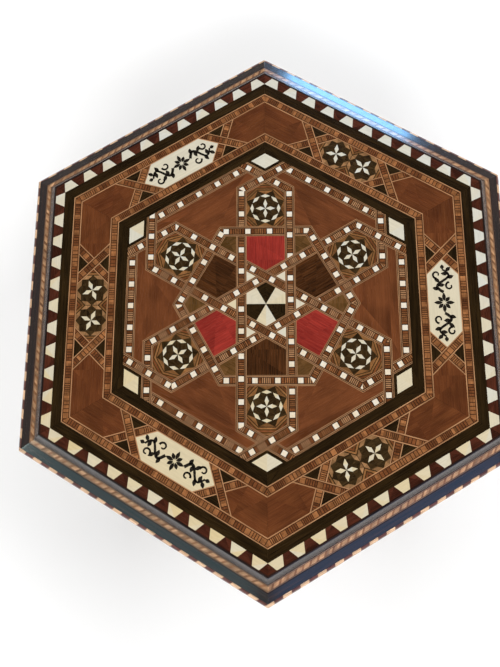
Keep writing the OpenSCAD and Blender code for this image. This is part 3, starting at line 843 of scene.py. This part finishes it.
def scroll_outlines():
    """A generic leaf scroll in mm: a rosette in the middle, and a winding stem with leaves on each side."""
    outlines = []
    for k in range(8):
        tip = polar(ROSETTE_TIPS[k % 2], k * EIGHTH)
        outlines.append(leaf(polar(ROSETTE_MIDDLE, k * EIGHTH), tip, ROSETTE_LEAF_WIDTH))
    for s in (-1, 1):
        path = [on_stem(s, k / (STEM_POINTS - 1)) for k in range(STEM_POINTS)]
        outlines.append(stroke(path, STEM_THICKNESS))
        for t, turn, length in LEAVES:
            start = on_stem(s, t)
            outlines.append(leaf(start, start + polar(length, math.radians(turn)) * s, LEAF_WIDTH))
        for t, side in CURLS:
            middle = Vector((on_stem(s, t).x, s * side * CURL_ASIDE))
            path = curl(middle, QUARTER * (1 + side * s), CURL_SWEEP * side * s)
            outlines.append(stroke(path, CURL_THICKNESS))
        start = on_stem(s, 1)
        outlines.append(leaf(start, start + Vector((s * LAST_LEAF_LENGTH, 0)), LEAF_WIDTH))
    return outlines


def make_plaques():
    """The mastic stands a little proud of the bone."""
    inlays = Inlays()
    outlines = scroll_outlines()
    for corners, normal, depth in shown_faces("bone_plaques"):
        place = strip_frame(corners, normal, PLAQUE_WIDTH)
        back = place.inverted()
        inlays.add("bone", [(back @ p).xy for p in corners], place, depth, sink=MASTIC_PROUD)
        for outline in outlines:
            inlays.add("mastic", [p * MM for p in outline], place, MASTIC_DEPTH)
    inlays.finish("plaque", PLAQUE_SLOTS, "lid", ["bone_plaques"])


# ---- Felt ----

FELT_EDGE_STEP = 4 * MM
# Rings over its rounded edge: distance in from the edge, and height, both as shares of its thickness
FELT_EDGE_RINGS = [(0.0, 0.0), (0.0, 0.55), (0.35, 0.9), (1.2, 0.98)]
FELT_FACE_HEIGHT = 0.97
FELT_FACE_RINGS = 14
WAVE_LENGTH = 18 * MM
WAVE_HEIGHT = 0.03  # as a share of its thickness
WAVE_START = 4 * MM  # how far in from the edge the waves reach their full height


def subdivided(outline, step):
    points = []
    for start, end in edges(outline):
        count = max(1, round((end - start).length / step))
        points += [start + (end - start) * k / count for k in range(count)]
    return points


def felt_rings(outline, back, front):
    """Rings of points from the felt's lower edge, over its rounded upper edge, to the middle of its face."""
    thickness = front - back
    middle = mean(outline)
    reach = min(edge_distances(middle, outline))
    rings = [(inset * thickness, height) for inset, height in FELT_EDGE_RINGS]
    rings += [(reach * k / FELT_FACE_RINGS, FELT_FACE_HEIGHT) for k in range(1, FELT_FACE_RINGS)]
    border = subdivided(outline, FELT_EDGE_STEP)
    for inset, height in rings:
        ring = []
        for point in border:
            place = middle + (point - middle) * (1 - inset / reach)
            wave = noise.noise(Vector((place.x, place.y, front)) / WAVE_LENGTH) * min(1, inset / WAVE_START)
            ring.append(Vector((place.x, place.y, back + thickness * (height + WAVE_HEIGHT * wave))))
        yield ring


def felt_sheet(name, faces, facing, node, body, material, held, rests_on):
    """Felt in a solid's place: soft edges, and a face that isn't quite even."""
    along = Vector((1, 0, 0)) if abs(facing.z) == 1 else Vector((-facing.y, facing.x, 0))
    turn = Matrix((along, facing.cross(along), facing)).transposed().to_4x4()
    points = [turn.inverted() @ p for p in points_of(faces)]
    outline = hull(points)
    levels = [p.z for p in points]
    rings = felt_rings(outline, min(levels), max(levels))
    sheet = bmesh.new()
    loops = [[sheet.verts.new(turn @ p) for p in ring] for ring in rings]
    for lower, upper in zip(loops, loops[1:]):
        for k in range(len(lower)):
            sheet.faces.new((lower[k - 1], lower[k], upper[k], upper[k - 1]))
    sheet.faces.new(loops[0][::-1])
    sheet.faces.new(loops[-1])
    mesh = bpy.data.meshes.new(name)
    sheet.to_mesh(mesh)
    sheet.free()
    for polygon in mesh.polygons:
        polygon.use_smooth = len(polygon.vertices) == 4
    piece = stand_for([node], name, mesh, material, material, body)
    area(outline)
    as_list(rests_on)


def box_middle(node):
    low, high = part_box(node)
    return mean([Vector(low), Vector(high)])


def make_felt():
    for node, body, material, facing, held, rests_on in (
            ("floor_lining", "box", "red_felt", UP, "laid", ["bottom_board"]),
            ("base_felt", "box", "green_felt", -UP, "stretched", ["bottom_board"]),
            ("lid_lining", "lid", "red_felt", -UP, "stretched", ["lid_board"])):
        for faces in islands(node):
            felt_sheet(node + "_cloth", faces, facing, node, body, material, held, rests_on)
    for faces in islands("wall_lining"):
        middle = mean(points_of(faces))
        side = min(SIDES, key=lambda name: (box_middle("wall_" + name) - middle).length)
        felt_sheet("wall_lining_cloth_" + side, faces, -middle.normalized().to_3d(), "wall_lining", "box",
                   "red_felt", "stretched", ["wall_" + side])


# ---- Rails ----

WORN_EDGE = 0.25 * MM
SHARP = math.radians(25)  # edges that turn by less stay as they are


def soften_rails():
    """A fine worn edge along the arrises and mitres of the lacquered mouldings."""
    for node in NODE_MATERIALS["lacquer"]:
        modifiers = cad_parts[node].modifiers
        weld = modifiers.new("weld", "WELD")
        weld.merge_threshold = SAME_POINT
        bevel = modifiers.new("worn edge", "BEVEL")
        bevel.width = WORN_EDGE
        bevel.segments = 2
        bevel.limit_method = "ANGLE"
        bevel.angle_limit = SHARP


# ---- Camera, light and floor ----

def make_camera():
    lens = bpy.data.cameras.new("camera")
    lens.sensor_width = SENSOR_WIDTH
    lens.lens = SENSOR_WIDTH * FOCAL_LENGTH / max(FRAME_SIZE)
    lens.clip_start = NEAREST_SEEN
    camera = add_object("camera", lens)
    camera.location = CAMERA_PLACE
    camera.rotation_euler = Euler([math.radians(a) for a in CAMERA_TURN])
    bpy.context.scene.camera = camera


def soft_box(name, azimuth, elevation, distance, size, power, colour=(1, 1, 1)):
    """An area light aimed at the middle of the lid's top."""
    light = bpy.data.lights.new(name, "AREA")
    light.shape = "RECTANGLE"
    light.size, light.size_y = size
    light.energy = power
    light.color = colour
    lamp = add_object(name, light)
    target = Vector((0, 0, cad_box[1][2]))
    flat = polar(distance * math.cos(math.radians(elevation)), math.radians(azimuth))
    lamp.location = target + Vector((*flat, distance * math.sin(math.radians(elevation))))
    lamp.rotation_euler = (target - lamp.location).to_track_quat("-Z", "Y").to_euler()
    return lamp


def make_world():
    """Bright round the horizon and dim overhead, so that the lid's flat top mirrors little of it."""
    world = bpy.data.worlds.new("studio")
    bpy.context.scene.world = world
    shader = Shader(world)
    direction = shader.add("ShaderNodeTexCoord").outputs["Generated"]
    height = shader.add("ShaderNodeSeparateXYZ", Vector=direction).outputs["Z"]
    strength = shader.between(height, *SKY_FADE, SKY_AT_HORIZON, SKY_OVERHEAD)
    background = shader.add("ShaderNodeBackground", Color=SKY_COLOUR, Strength=strength)
    output = shader.add("ShaderNodeOutputWorld")
    shader.links.new(background.outputs[0], output.inputs["Surface"])


def make_light():
    """Keys that leave no reflection, and glows that show only as one, as a window's does in the lacquer."""
    make_world()
    for azimuth, elevation, power in KEYS:
        key = soft_box(f"key_{azimuth}", azimuth, elevation, KEY_DISTANCE, KEY_SIZE, power)
        key.visible_glossy = False
    for name, (azimuth, elevation, size, power, colour) in GLOWS.items():
        glow = soft_box(name, azimuth, elevation, GLOW_DISTANCE, size, power, colour)
        glow.visible_diffuse = False
    bpy.context.scene.view_settings.view_transform = "Standard"


def make_floor():
    mesh = bpy.data.meshes.new("floor")
    reach = FLOOR_REACH
    corners = [(*corner, 0) for corner in rectangle(-reach, reach, -reach, reach)]
    mesh.from_pydata(corners, [], [(0, 1, 2, 3)])
    shader = Shader(bpy.data.materials.new("floor"))
    mesh.materials.append(finish_material(shader, FLOOR_COLOUR, FLOOR_ROUGHNESS))
    add_object("floor", mesh)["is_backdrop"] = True


make_camera()
make_floor()
make_light()
dress_nodes()
make_strips("strap", ["border_straps", "star_straps"], "lid", STRAP)
make_strips("band_strip", ["band_strips", "crossing_strips"], "lid", STRIP)
make_strips("wall_strip", ["wall_strips"], "box", STRIP)
make_strips("rope", ["rope_inlay"], "lid", ROPE)
make_medallions()
make_plaques()
make_felt()
soften_rails()

boxes = {"cad": cad_box, "visual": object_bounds()}
{name: [list(corner) for corner in box] for name, box in boxes.items()}
